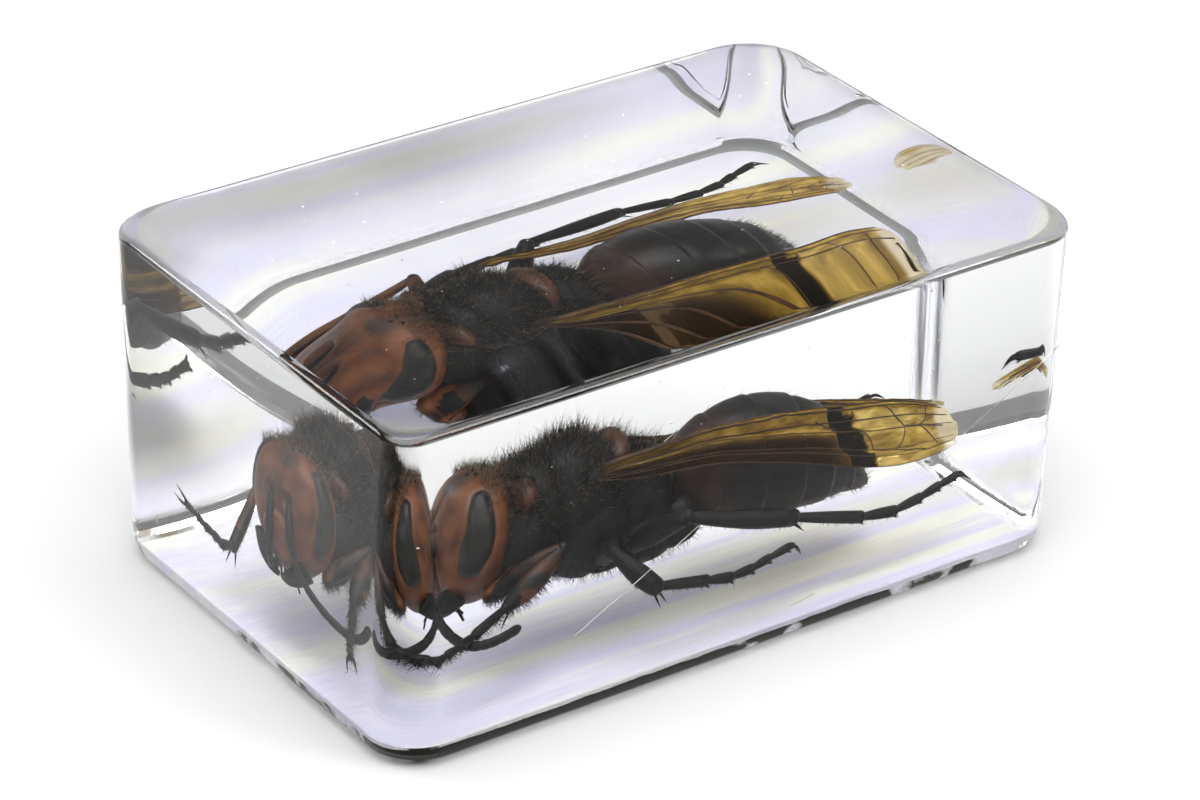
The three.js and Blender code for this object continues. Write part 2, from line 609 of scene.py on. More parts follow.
def add_tube(bm, path, sides, flatten=1.0):
    """A closed tube through (x, y, z, radius) rows. flatten squashes it along one side."""
    centres = [Vector(row[:3]) for row in path]
    side = None
    last_ring = None
    for i, centre in enumerate(centres):
        ahead = centres[min(i + 1, len(centres) - 1)] - centres[max(i - 1, 0)]
        ahead.normalize()
        if side is None:
            side = ahead.orthogonal().normalized()
        side = (side - ahead * side.dot(ahead)).normalized()
        up = ahead.cross(side)
        frame_axes = Matrix((side, up * flatten, ahead)).transposed().to_4x4()
        is_end = i in (0, len(centres) - 1)
        made = bmesh.ops.create_circle(
            bm, segments=sides, radius=path[i][3], cap_ends=is_end,
            matrix=Matrix.Translation(centre) @ frame_axes,
        )
        ring = {e for v in made["verts"] for e in v.link_edges}
        ring = [e for e in ring if e.verts[0] in made["verts"] and e.verts[1] in made["verts"]]
        if last_ring:
            bmesh.ops.bridge_loops(bm, edges=last_ring + ring)
        last_ring = ring


def mouth_mesh():
    """Both jaws and all four feelers, tapering to their tips."""
    bm = bmesh.new()
    for side in (-1, 1):
        jaw = through([(side * x, y, z, radius) for x, y, z, radius in JAW_LINE], 6)
        add_tube(bm, jaw, 16, JAW_FLATNESS)
        for reach, start in FEELERS:
            feeler = through((
                (side * start, 0.7, -4.4, 0.2),
                (side * (start + 0.2), 0.4, -5.2, 0.15),
                (side * (start + 0.35), -0.2, -4.6 - reach, 0.1),
            ), 5)
            add_tube(bm, feeler, 8)
    bmesh.ops.transform(bm, matrix=head_place, verts=bm.verts)
    bmesh.ops.recalc_face_normals(bm, faces=bm.faces)
    return bm


add_piece("jaws_and_palps", mouth_mesh(), [dark_chitin])


# ---------------------------------------------------------------------------
# The antennae
# Each grew from a socket in the face: one long first joint of black chitin, then a whip of
# eleven short joints with a narrow neck between each two.
# ---------------------------------------------------------------------------
NEAR_ANTENNA = (
    (-21.1, -1.1, 8.4), (-21.1, -2.6, 6.7), (-20.8, -5.2, 5.5),
    (-20.1, -7.6, 4.95), (-18.9, -8.4, 4.8), (-17.4, -8.4, 4.85), (-15.6, -8.0, 5.1),
)
FAR_ANTENNA = (
    (-21.1, 2.0, 8.2), (-20.6, 2.2, 6.4), (-18.8, 2.7, 5.3),
    (-16.4, 3.4, 5.7), (-14.6, 4.2, 6.3), (-12.8, 4.9, 7.0),
)
SOCKET_FORWARDS = 2.85
FIRST_JOINT_RADII = (0.26, 0.36, 0.42, 0.46)
FIRST_JOINT_BOW = (-0.45, 0, 0.1)
WHIP_JOINTS = 11
WHIP_RADIUS = 0.4
WHIP_SWELL = 0.16
WHIP_NECK = 0.13
WHIP_TIP = 0.06


def antenna_meshes(whip_points, side):
    """The first joint and the whip, as two bmeshes."""
    root = head_place @ Vector((side * SOCKET[0], SOCKET_FORWARDS, SOCKET[1]))
    elbow = Vector(whip_points[0])
    middle = root.lerp(elbow, 0.5) + Vector(FIRST_JOINT_BOW)
    places = (root, root.lerp(middle, 0.3), middle, elbow)
    rows = [(*place, radius) for place, radius in zip(places, FIRST_JOINT_RADII)]
    first = bmesh.new()
    add_tube(first, through(rows, 6), 14)
    rows = through(whip_points, 12)
    path = []
    for i, row in enumerate(rows):
        share = i / (len(rows) - 1)
        joint = share * WHIP_JOINTS % 1.0
        neck = 1 - WHIP_NECK * bump_at(min(joint, 1 - joint), 0.09)
        end = math.sqrt(max(0.05, 1 - max(0.0, (share - (1 - WHIP_TIP)) / WHIP_TIP) ** 2))
        path.append((*row, WHIP_RADIUS * (0.92 + WHIP_SWELL * share) * neck * end))
    whip = bmesh.new()
    add_tube(whip, path, 14)
    for bm in (first, whip):
        bmesh.ops.recalc_face_normals(bm, faces=bm.faces)
    return first, whip


for label, points, side in (("near", NEAR_ANTENNA, -1), ("far", FAR_ANTENNA, 1)):
    first_joint, whip = antenna_meshes(points, side)
    add_piece(f"antenna_base_{label}", first_joint, [dark_chitin])
    add_piece(f"antenna_whip_{label}", whip, [dark_chitin])


# ---------------------------------------------------------------------------
# The thorax
# The deep middle of the body, near black, with a rust-brown collar spot, shield and wing
# scales, and the hips of six legs bulging below. It grew as plates that meet in grooves.
# ---------------------------------------------------------------------------
DARK, RUST = 0, 1
# Middle, half sizes, tilt in degrees towards the tail and finish of each plate.
THORAX_PLATES = (
    ((-13.6, 0.0, 10.8), (1.8, 2.4, 2.6), 0, DARK),
    ((-11.2, 0.0, 11.7), (2.9, 4.5, 3.9), -25, DARK),
    ((-8.7, 0.0, 11.8), (4.6, 4.8, 4.35), 0, DARK),
    ((-7.6, 0.0, 9.2), (5.0, 4.7, 4.5), 10, DARK),
    ((-4.9, 0.3, 13.55), (1.35, 2.9, 1.75), 30, RUST),
    ((-3.4, 0.0, 12.0), (1.4, 3.2, 1.9), 40, DARK),
    ((-3.0, 0.0, 9.9), (3.2, 4.1, 3.9), 30, DARK),
)
# The same for the plates, wing scales and hips that lie on both sides.
THORAX_SIDES = (
    ((-13.3, 2.3, 13.4), (1.0, 2.3, 1.15), 20, RUST),
    ((-7.7, 4.6, 13.6), (1.1, 0.6, 0.75), 0, DARK),
    ((-13.2, 2.9, 9.2), (2.6, 2.2, 3.6), 0, DARK),
    ((-10.2, 2.0, 7.9), (2.0, 1.6, 1.7), 0, DARK),
    ((-6.2, 2.2, 6.7), (2.2, 1.9, 1.7), 0, DARK),
    ((-2.4, 2.0, 7.2), (3.0, 2.3, 2.5), 0, DARK),
    ((0.2, 2.3, 7.2), (2.4, 1.8, 2.0), -15, DARK),
)


def thorax_mesh():
    """Swollen plates that run into each other, so that grooves are left between them."""
    bm = bmesh.new()
    plates = list(THORAX_PLATES)
    for side in (-1, 1):
        for (x, y, z), radii, tilt, finish in THORAX_SIDES:
            plates.append(((x, side * y, z), radii, tilt, finish))
    for (x, y, z), radii, tilt, finish in plates:
        turn = Matrix.Rotation(math.radians(tilt), 4, "Y")
        verts = add_ball(bm, (x, MIDDLE_Y + y, z), radii, 48, turn)
        for face in {f for v in verts for f in v.link_faces}:
            face.material_index = finish
    for vert in bm.verts:
        swell = 0.14 * noise.noise(vert.co * 0.7) + 0.04 * noise.noise(vert.co * 2.5)
        vert.co += Vector((0, vert.co.y - MIDDLE_Y, vert.co.z - 10)).normalized() * swell
    return bm


thorax = add_piece("hornet_thorax", thorax_mesh(), [dark_chitin, rust_chitin])


# ---------------------------------------------------------------------------
# The abdomen
# Six telescoped rings of glossy dark chitin, red-brown at the waist, ending in a point that
# hooks downwards. Each ring's hind edge steps down to the next.
# ---------------------------------------------------------------------------
RING_ENDS = (3.4, 7.4, 11.0, 14.0, 16.4, 18.2)
ABDOMEN_START = -1.4
ABDOMEN_STEPS = 130
ABDOMEN_SIDES = 96
# Place along X and radius.
ABDOMEN_RADII = (
    (-1.4, 0.7), (-0.4, 1.5), (0.8, 2.7), (2.0, 3.8), (3.6, 4.5), (5.5, 5.0), (8.0, 5.3),
    (10.0, 5.15), (12.0, 4.75), (14.0, 4.1), (15.8, 3.2), (17.0, 2.2), (17.8, 1.4), (18.4, 0.6),
    (18.7, 0.05),
)
# Place along X and height of the middle line.
ABDOMEN_HEIGHTS = (
    (-1.4, 10.8), (2.0, 9.9), (4.7, 9.8), (8.3, 9.35), (12.0, 8.6), (14.0, 8.0), (15.8, 7.3),
    (17.0, 6.2), (18.0, 5.1), (18.7, 4.5),
)
RING_STEP = 0.1
BELLY_FLATNESS = 0.9
BACK_FLATNESS = 0.98
WAIST_BAND = (3.2, 6.5)
BELLY_BAND = (4.2, 6.6)


def along(table, x):
    """The value at x in a table of (x, value) rows, with straight stretches between."""
    for (x0, v0), (x1, v1) in zip(table, table[1:]):
        if x <= x1:
            return v0 + (v1 - v0) * (x - x0) / (x1 - x0)
    return table[-1][1]


def abdomen_radius(x):
    """The outline, with each ring a little proud of the next at its hind edge."""
    radius = sum(along(ABDOMEN_RADII, x + shift) for shift in (-0.5, 0.0, 0.5)) / 3
    start = ABDOMEN_START
    for end in RING_ENDS:
        if x <= end:
            rise = (x - start) / (end - start)
            return radius * (1 - 0.02 * (1 - rise)) + RING_STEP * (rise - 0.5) * min(1, radius / 3)
        start = end
    return radius


def abdomen_mesh():
    """The outline spun round X, then bent down along the middle line and flattened."""
    bm = bmesh.new()
    outline = [bm.verts.new((ABDOMEN_START, 0, 0.0))]
    last = ABDOMEN_RADII[-1][0]
    for i in range(ABDOMEN_STEPS):
        x = ABDOMEN_START + (last - ABDOMEN_START) * i / ABDOMEN_STEPS
        outline.append(bm.verts.new((x, 0, max(0.02, abdomen_radius(x)))))
    outline.append(bm.verts.new((last, 0, 0.0)))
    edges = [bm.edges.new(pair) for pair in zip(outline, outline[1:])]
    bmesh.ops.spin(
        bm, geom=outline + edges, axis=(1, 0, 0), cent=(0, 0, 0), angle=2 * math.pi,
        steps=ABDOMEN_SIDES, use_merge=True,
    )
    bmesh.ops.remove_doubles(bm, verts=bm.verts, dist=0.001)
    for vert in bm.verts:
        x, y, z = vert.co
        flatness = BELLY_FLATNESS if z < 0 else BACK_FLATNESS
        vert.co = (x, MIDDLE_Y + y, along(ABDOMEN_HEIGHTS, x) + z * flatness)
        vert.co.z += 0.05 * noise.noise(vert.co * 0.5)
    bmesh.ops.smooth_vert(
        bm, verts=bm.verts, factor=0.3, use_axis_x=True, use_axis_y=True, use_axis_z=True,
    )
    bmesh.ops.recalc_face_normals(bm, faces=bm.faces)
    return bm


def abdomen_chitin():
    """Smooth dark chitin, red-brown in a wide band at the waist and along the belly."""
    material, tree, shader, place, drift, (dark, brown) = mottled_finish(
        "dark_banded_chitin", {"Roughness": 0.35, "IOR": CHITIN_IOR, "Specular IOR Level": 0.18},
        1.4, 3.0, ((0.3, "#0B0A08"), (0.7, "#191612")), ((0.3, "#22120A"), (0.7, "#3C2113")),
        pits=(0.12, 0.015),
    )
    axes = add_node(tree, "ShaderNodeSeparateXYZ", inputs={"Vector": place})
    wander = add_node(tree, "ShaderNodeMath", {"operation": "MULTIPLY_ADD"}, {
        0: drift, 1: 1.6 * MM, 2: axes.outputs["X"],
    })
    reds = []
    for source, (full, gone), strength in (
        (wander.outputs["Value"], WAIST_BAND, 0.8), (axes.outputs["Z"], BELLY_BAND, 0.75),
    ):
        reds.append(add_node(tree, "ShaderNodeMapRange", inputs={
            "Value": source, "From Min": full * MM, "From Max": gone * MM,
            "To Min": strength, "To Max": 0.0,
        }).outputs["Result"])
    red = add_node(tree, "ShaderNodeMath", {"operation": "MAXIMUM"}, {0: reds[0], 1: reds[1]})
    colour = add_node(tree, "ShaderNodeMix", {"data_type": "RGBA"}, {
        MIX_FACTOR: red.outputs["Value"], MIX_FIRST: dark, MIX_SECOND: brown,
    })
    tree.links.new(colour.outputs[MIX_RESULT], shader.inputs["Base Color"])
    return material


abdomen = add_piece("hornet_abdomen", abdomen_mesh(), [abdomen_chitin()])


# ---------------------------------------------------------------------------
# The legs
# Six jointed legs of black chitin, the front pair brown. Each has a thick hip, a thigh, a shin
# with two spurs, a foot of five spiny joints and a pair of hooked claws.
# ---------------------------------------------------------------------------
# Each joint's end in the block. shin gives a leg shin radii of its own, and size scales the rest.
LEGS = {
    "front_near": {
        "hip": (-11.6, -1.6, 7.6), "thigh": (-16.6, -3.2, 6.8), "knee": (-11.2, -5.4, 9.4),
        "ankle": (-16.3, -6.4, 6.5), "shin": (0.5, 0.95, 1.25, 1.1, 0.6),
        "foot": ((-19.4, -7.9, 5.7), (-21.0, -8.7, 5.4), (-22.2, -9.2, 5.3), (-23.2, -9.8, 5.2),
                 (-24.2, -10.4, 5.0)),
        "claws": (-0.3, -0.4, -0.9), "brown": True, "size": 0.85,
    },
    "front_far": {
        "hip": (-11.2, 1.8, 7.6), "thigh": (-11.6, 4.0, 6.4), "knee": (-9.4, 9.8, 8.2),
        "ankle": (-18.0, 8.8, 3.9),
        "foot": ((-20.6, 8.8, 4.3), (-21.4, 9.4, 4.8), (-22.0, 10.2, 5.2), (-22.4, 11.1, 5.6),
                 (-22.9, 12.3, 6.1)),
        "claws": (-0.1, 0.8, 0.4), "brown": True, "size": 0.85,
    },
    "middle_near": {
        "hip": (-7.6, -0.9, 7.0), "thigh": (-6.8, -2.8, 6.5), "knee": (-7.6, -7.8, 8.6),
        "ankle": (-4.8, -10.5, 5.5), "shin": (0.5, 0.75, 0.9, 0.8),
        "foot": ((-0.4, -10.6, 4.6), (1.8, -10.7, 4.2), (3.7, -10.7, 4.3), (5.2, -10.8, 4.7),
                 (6.9, -10.9, 5.1)),
        "claws": (0.35, 0.0, -0.95), "brown": False, "size": 0.95,
    },
    "middle_far": {
        "hip": (-7.6, 2.3, 7.0), "thigh": (-6.8, 4.2, 6.5), "knee": (-10.4, 7.3, 9.1),
        "ankle": (-6.5, 9.3, 7.3),
        "foot": ((-2.5, 9.8, 6.9), (-0.3, 10.0, 6.8), (1.7, 10.2, 6.8), (3.5, 10.4, 7.1),
                 (5.3, 10.6, 7.4)),
        "claws": (0.8, -0.6, -0.4), "brown": False, "size": 0.95,
    },
    "hind_near": {
        "hip": (-4.6, -0.6, 7.2), "thigh": (-4.4, -2.8, 6.6), "knee": (-1.0, -7.6, 9.3),
        "ankle": (8.0, -8.8, 6.8), "shin": (0.45, 0.65, 0.8, 0.75),
        "foot": ((14.2, -9.2, 5.0), (17.3, -9.4, 4.6), (19.6, -9.5, 5.0), (21.3, -9.6, 5.5),
                 (22.8, -9.7, 5.9)),
        "claws": (0.75, 0.0, -0.75), "brown": False, "size": 1.0,
    },
    "hind_far": {
        "hip": (-4.6, 2.0, 7.2), "thigh": (-4.4, 4.2, 6.6), "knee": (-0.5, 8.1, 11.1),
        "ankle": (9.1, 9.9, 8.5),
        "foot": ((13.7, 9.8, 7.5), (16.5, 9.8, 7.4), (18.7, 10.1, 7.4), (20.4, 10.7, 7.4),
                 (22.5, 11.3, 7.5)),
        "claws": (0.8, -0.2, -0.6), "brown": False, "size": 1.0,
    },
}
HIP_RADII = (1.4, 1.25, 0.8)
THIGH_RADII = (0.55, 0.95, 0.9, 0.6)
SHIN_RADII = (0.42, 0.6, 0.72, 0.66)
# The thin and the thick end of each foot joint.
FOOT_RADII = ((0.36, 0.54), (0.3, 0.5), (0.27, 0.46), (0.25, 0.43), (0.24, 0.4))
JOINT_BALL = 0.98
SPUR_LENGTH = 1.25
SPUR_RADIUS = 0.13
# Where the thorns of a foot joint stand round it, from one side (-1) to the other (1).
THORNS = (-1, -0.3, 0.5, 1)
THORN_RADIUS = 0.07
TOE_RADIUS = 0.36
CLAW_RADII = (0.17, 0.13, 0.02)
# The front legs turn black past this share of the shin and this far out from the middle.
BLACK_SHIN_SHARE = 0.8
BLACK_OUTSIDE = 4.5


def add_span(bm, start, end, radii, bow, sides=14):
    """One leg joint: a tube from start to end through evenly spread radii, bowed sideways."""
    start, end = Vector(start), Vector(end)
    rows = []
    for i, radius in enumerate(radii):
        share = i / (len(radii) - 1)
        place = start.lerp(end, share) + Vector(bow) * math.sin(math.pi * share)
        rows.append((*place, radius))
    add_tube(bm, through(rows, 5), sides)
    add_ball(bm, start, (radii[0] * JOINT_BALL,) * 3, 14)
    add_ball(bm, end, (radii[-1] * JOINT_BALL,) * 3, 14)


def add_spike(bm, root, tip, radius):
    """A thin thorn from root to tip."""
    middle = root.lerp(tip, 0.5)
    rows = ((*root, radius), (*middle, radius * 0.72), (*tip, radius * 0.08))
    add_tube(bm, through(rows, 4), 6)


def leg_mesh(plan):
    """One leg, from its hip to its claws."""
    bm = bmesh.new()
    size = plan["size"]
    hip, thigh, knee, ankle = (Vector(plan[key]) for key in ("hip", "thigh", "knee", "ankle"))
    add_span(bm, hip, thigh, [r * size for r in HIP_RADII], (0, 0, 0), 20)
    add_span(bm, thigh, knee, [r * size for r in THIGH_RADII], (0, 0, 0.25), 18)
    add_span(bm, knee, ankle, [r * size for r in plan.get("shin", SHIN_RADII)], (0, 0, -0.15), 18)
    spurs = (ankle - knee).normalized()
    across = spurs.cross(Vector((0, 0, 1))).normalized()
    for side in (-1, 1):
        root = ankle - spurs * 0.2 + across * side * 0.3 * size - Vector((0, 0, 0.25))
        tip = root + spurs * SPUR_LENGTH + across * side * 0.35 - Vector((0, 0, 0.75))
        add_spike(bm, root, tip, SPUR_RADIUS)
    start = ankle
    for end, (thin, thick) in zip(plan["foot"], FOOT_RADII):
        end = Vector(end)
        add_span(bm, start, end, (thin * size, thick * 0.9 * size, thick * size), (0, 0, 0))
        forward = (end - start).normalized()
        sideways = forward.cross(Vector((0, 0, 1))).normalized()
        for side in THORNS:
            out = (sideways * side - Vector((0, 0, 0.8))).normalized()
            root = end - forward * 0.12 + out * thick * 0.75 * size
            add_spike(bm, root, root + forward * 0.42 + out * 0.3, THORN_RADIUS)
        start = end
    toe = Vector(plan["foot"][-1])
    forward = (toe - Vector(plan["foot"][-2])).normalized()
    hook = Vector(plan["claws"]).normalized()
    sideways = forward.cross(hook).normalized()
    add_ball(bm, toe + forward * 0.15, (TOE_RADIUS * size,) * 3, 12)
    for side in (-1, 1):
        root = toe + sideways * side * 0.15
        middle = root + forward * 0.6 + sideways * side * 0.3 + hook * 0.15
        tip = root + forward * 0.75 + sideways * side * 0.4 + hook * 1.0
        rows = [(*place, radius) for place, radius in zip((root, middle, tip), CLAW_RADII)]
        add_tube(bm, through(rows, 6), 8)
    if plan["brown"]:
        black_from = knee.lerp(ankle, BLACK_SHIN_SHARE).x
        for face in bm.faces:
            place = face.calc_center_median()
            if place.x < black_from and abs(place.y - MIDDLE_Y) > BLACK_OUTSIDE:
                face.material_index = 1
    bmesh.ops.recalc_face_normals(bm, faces=bm.faces)
    return bm


def brown_leg_chitin():
    """Warm brown chitin of the front legs, satin, streaked along the leg with black."""
    material, tree, shader = new_material("streaked_brown_chitin", {
        "Roughness": 0.4, "IOR": CHITIN_IOR, "Specular IOR Level": 0.18,
    })
    place = add_node(tree, "ShaderNodeTexCoord").outputs["Object"]
    stretched = add_node(tree, "ShaderNodeMapping", inputs={
        "Vector": place,
        "Rotation": (0.0, math.radians(-28), math.radians(14)),
        "Scale": (0.22, 1.0, 1.0),
    })
    streaks = add_node(tree, "ShaderNodeTexNoise", inputs={
        "Vector": stretched.outputs["Vector"], "Scale": 1 / (1.5 * MM), "Detail": 3.0,
    })
    colour = add_node(tree, "ShaderNodeValToRGB", inputs={"Fac": streaks.outputs["Fac"]}, stops=(
        (0.38, "#120D0A"), (0.5, "#3A2212"), (0.66, "#6E4220"),
    ))
    tree.links.new(colour.outputs["Color"], shader.inputs["Base Color"])
    surface_relief(tree, shader, place, 0.14, 0.03)
    return material


brown_chitin = brown_leg_chitin()
legs = {}
for leg_name, plan in LEGS.items():
    finishes = [brown_chitin, dark_chitin] if plan["brown"] else [dark_chitin]
    legs[leg_name] = add_piece(f"leg_{leg_name}", leg_mesh(plan), finishes)


# ---------------------------------------------------------------------------
# The wings
# Each pair is folded lengthwise into one narrow pleated blade of amber membrane, stiffened by
# dark veins, and lies along the side of the abdomen, flaring outwards at its tip. A patch of
# painted shade lies across the near one.
# ---------------------------------------------------------------------------
# Points along the inner and the outer edge of each folded blade, from its root to its tip.
NEAR_WING_INNER = (
    (-8.0, -4.0, 14.2), (-5.7, -4.7, 14.8), (1.0, -5.0, 14.9), (6.2, -4.7, 14.4),
    (10.0, -4.6, 13.9), (15.4, -4.3, 12.7), (20.5, -3.5, 11.4), (24.6, -3.6, 9.8),
)
NEAR_WING_OUTER = (
    (-7.6, -4.6, 13.5), (-4.6, -6.2, 13.3), (1.5, -7.5, 12.9), (7.0, -8.3, 11.6),
    (11.0, -8.8, 10.3), (15.0, -8.9, 8.9), (19.5, -9.1, 8.2), (23.8, -9.0, 8.4),
)
FAR_WING_INNER = (
    (-8.0, 5.0, 14.0), (-5.0, 5.5, 13.4), (1.8, 5.2, 11.9), (8.4, 5.4, 11.3),
    (13.5, 4.9, 11.1), (18.0, 4.3, 10.3), (22.5, 3.9, 9.1), (27.0, 3.6, 7.7),
)
FAR_WING_OUTER = (
    (-7.6, 5.5, 13.0), (-4.6, 6.7, 11.9), (2.6, 7.3, 9.9), (9.7, 7.9, 9.5),
    (15.0, 8.0, 9.1), (19.5, 7.9, 8.5), (24.0, 7.7, 7.7), (27.8, 5.9, 7.1),
)
WING_ROWS = 210
WING_COLUMNS = 44
WING_PLEATS = 2.5
WING_PLEAT_DEPTH = 0.3
WING_BUCKLE = 0.2
WING_WRINKLE = 0.05
WING_CRUMPLE = 0.12
# Where each long vein runs across the blade at its base and at its end, and how thick it is.
LONG_VEINS = (
    (0.0, 0.0, 0.17), (0.1, 0.07, 0.12), (0.26, 0.2, 0.09), (0.42, 0.46, 0.08),
    (0.6, 0.72, 0.07), (0.8, 0.9, 0.06), (1.0, 1.0, 0.07),
)
# Short veins: from (along, across) to (along, across).
CROSS_VEINS = (
    ((0.79, 0.08), (0.83, 0.42)), ((0.83, 0.42), (0.8, 0.75)), ((0.83, 0.42), (0.95, 0.5)),
    ((0.87, 0.45), (0.92, 0.1)), ((0.88, 0.46), (0.93, 0.82)), ((0.7, 0.42), (0.74, 0.7)),
    ((0.8, 0.75), (0.9, 0.9)), ((0.6, 0.2), (0.64, 0.42)), ((0.74, 0.7), (0.8, 0.75)),
)
LONG_VEIN_STEPS = 70
LONG_VEIN_THINNING = 0.55
CROSS_VEIN_STEPS = 8
CROSS_VEIN_RADIUS = 0.06
CROSS_VEIN_BOW = 0.012
PALE_BORDER_FROM = 0.93
# Where the patch of painted shade across the near wing starts and ends along the block.
WING_SHADE_START = 12.2
WING_SHADE_END = 14.4
CLEAR_TRANSMISSION = 0.9
AMBER_TRANSMISSION = 0.42


def row_at(rows, share):
    """The point at a share of the way along evenly spread rows."""
    position = min(share, 0.99999) * (len(rows) - 1)
    index = int(position)
    return Vector(rows[index]).lerp(Vector(rows[index + 1]), position - index)


def wing_point(inner, outer, share_along, share_across, seed):
    """A point on the folded blade. Its pleats run along it and fade towards base and tip."""
    roundness = math.sqrt(max(0.0, 1 - (2 * share_across - 1) ** 2))
    share_along *= 1 - 0.05 * (1 - roundness) * smooth_step(0.6, 1.0, share_along)
    a, b = row_at(inner, share_along), row_at(outer, share_along)
    out = (b - a).cross(Vector((1, 0, 0))).normalized()
    fade = smooth_step(0.0, 0.15, share_along) * (1 - 0.5 * smooth_step(0.7, 1.0, share_along))
    pleat = math.sin(share_across * WING_PLEATS * 2 * math.pi + seed)
    broad = noise.noise(Vector((share_along * 7, share_across * 2.5, seed)))
    fine = noise.noise(Vector((share_along * 40, share_across * 9, seed)))
    crumple = smooth_step(0.75, 0.5, share_along) * (1 - smooth_step(0.15, 0.5, share_across))
    height = WING_PLEAT_DEPTH * pleat * fade + WING_BUCKLE * broad
    height += (WING_WRINKLE + WING_CRUMPLE * crumple) * fine
    return a.lerp(b, share_across) + out * height


def wing_mesh(inner, outer, seed, shaded):
    """A blade. Attributes carry its pale border, its clearer part over the body and its painted shade.
    """
    bm = bmesh.new()
    bmesh.ops.create_grid(bm, x_segments=WING_ROWS, y_segments=WING_COLUMNS, size=0.5)
    pale_layer, clear_layer, wing_shade_layer = (
        bm.verts.layers.float.new(name) for name in ("pale", "clear", "painted_shade")
    )
    for vert in bm.verts:
        share_along, share_across = vert.co.x + 0.5, vert.co.y + 0.5
        vert.co = wing_point(inner, outer, share_along, share_across, seed)
        border = PALE_BORDER_FROM + 0.05 * (share_across - 0.5) ** 2 * 4
        vert[pale_layer] = smooth_step(border - 0.012, border + 0.012, share_along)
        over_body = smooth_step(14.5, 11.5, vert.co.x)
        vert[clear_layer] = over_body * smooth_step(0.42, 0.6, share_across)
        ragged = 1.1 * noise.noise(vert.co * 0.9) + 0.5 * noise.noise(vert.co * 3.1)
        start = WING_SHADE_START + 0.25 * ragged + 1.2 * share_across * share_across
        end = WING_SHADE_END + ragged + 1.5 * smooth_step(0.2, 0.8, share_across)
        inside = smooth_step(start - 0.08, start + 0.08, vert.co.x)
        inside *= smooth_step(end + 0.35, end - 0.35, vert.co.x)
        vert[wing_shade_layer] = inside if shaded else 0.0
    return bm


def vein_mesh(inner, outer, seed):
    """Tubes laid on the same surface as the blade. Those inside its border end just before it."""
    bm = bmesh.new()
    for start, end, radius in LONG_VEINS:
        path = []
        for i in range(LONG_VEIN_STEPS + 1):
            share = i / LONG_VEIN_STEPS * (0.985 if 0 < start < 1 else 1.0)
            point = wing_point(inner, outer, share, start + (end - start) * share, seed)
            path.append((*point, radius * (1 - LONG_VEIN_THINNING * share)))
        add_tube(bm, path, 7)
    for (along0, across0), (along1, across1) in CROSS_VEINS:
        path = []
        for i in range(CROSS_VEIN_STEPS + 1):
            t = i / CROSS_VEIN_STEPS
            share_along = along0 + (along1 - along0) * t + CROSS_VEIN_BOW * math.sin(math.pi * t)
            point = wing_point(inner, outer, share_along, across0 + (across1 - across0) * t, seed)
            path.append((*point, CROSS_VEIN_RADIUS))
        add_tube(bm, path, 6)
    bmesh.ops.recalc_face_normals(bm, faces=bm.faces)
    return bm


def wing_membrane():
    """Amber membrane: thin, see-through and tinted, with fine streaks along it.

    It is paler past the last veins and clearer where it lies flat on the body. So thin a sheet
    hardly bends light, which its low IOR stands for.
    """
    material, tree, shader = new_material("amber_membrane", {
        "Roughness": 0.22,
        "IOR": 1.02,
        "Specular IOR Level": 0.5,
    })
    place = add_node(tree, "ShaderNodeTexCoord").outputs["Object"]
    stretched = add_node(tree, "ShaderNodeMapping", inputs={
        "Vector": place, "Scale": (0.25, 1.0, 1.0),
    })
    streaks = add_node(tree, "ShaderNodeTexNoise", inputs={
        "Vector": stretched.outputs["Vector"], "Scale": 1 / (0.7 * MM), "Detail": 5.0,
    })
    colour = add_node(tree, "ShaderNodeValToRGB", inputs={"Fac": streaks.outputs["Fac"]}, stops=(
        (0.3, "#664C1B"), (0.5, "#9A7A2D"), (0.7, "#C6A248"),
    )).outputs["Color"]
    amounts = {}
    # The last of these tints is painted shade, near black.
    for name, tint in (("clear", "#5C3D18"), ("pale", "#CDBF9A"), ("painted_shade", "#14110C")):
        amounts[name] = add_node(
            tree, "ShaderNodeAttribute", {"attribute_name": name},
        ).outputs["Fac"]
        colour = add_node(tree, "ShaderNodeMix", {"data_type": "RGBA"}, {
            MIX_FACTOR: amounts[name], MIX_FIRST: colour, MIX_SECOND: linear(tint),
        }).outputs[MIX_RESULT]
    tree.links.new(colour, shader.inputs["Base Color"])
    clearness = add_node(tree, "ShaderNodeMapRange", inputs={
        "Value": amounts["clear"], "To Min": AMBER_TRANSMISSION, "To Max": CLEAR_TRANSMISSION,
    })
    # Less light passes through the membrane where its shade is painted.
    passing = add_node(tree, "ShaderNodeMath", {"operation": "SUBTRACT", "use_clamp": True}, {
        0: clearness.outputs["Result"], 1: amounts["painted_shade"],
    })
    tree.links.new(passing.outputs["Value"], shader.inputs["Transmission Weight"])
    surface_relief(tree, shader, place, 0.35, 0.05)
    return material


def vein_chitin():
    """Brown horny tubes, satin, darker than the membrane they carry."""
    return mottled_finish(
        "brown_vein_chitin", {"Roughness": 0.4, "IOR": CHITIN_IOR, "Specular IOR Level": 0.18},
        2.0, 2.0, ((0.3, "#1E1208"), (0.7, "#4A2E12")), pits=(0.1, 0.02),
    )[0]


membrane = wing_membrane()
vein_material = vein_chitin()
for label, inner_edge, outer_edge, seed, shaded in (
    ("near", NEAR_WING_INNER, NEAR_WING_OUTER, 0.4, True),
    ("far", FAR_WING_INNER, FAR_WING_OUTER, 2.6, False),
):
    inner_rows, outer_rows = through(inner_edge, 30), through(outer_edge, 30)
    blade = wing_mesh(inner_rows, outer_rows, seed, shaded)
    veins = vein_mesh(inner_rows, outer_rows, seed)
    add_piece(f"wing_membrane_{label}", blade, [membrane])
    add_piece(f"wing_veins_{label}", veins, [vein_material])


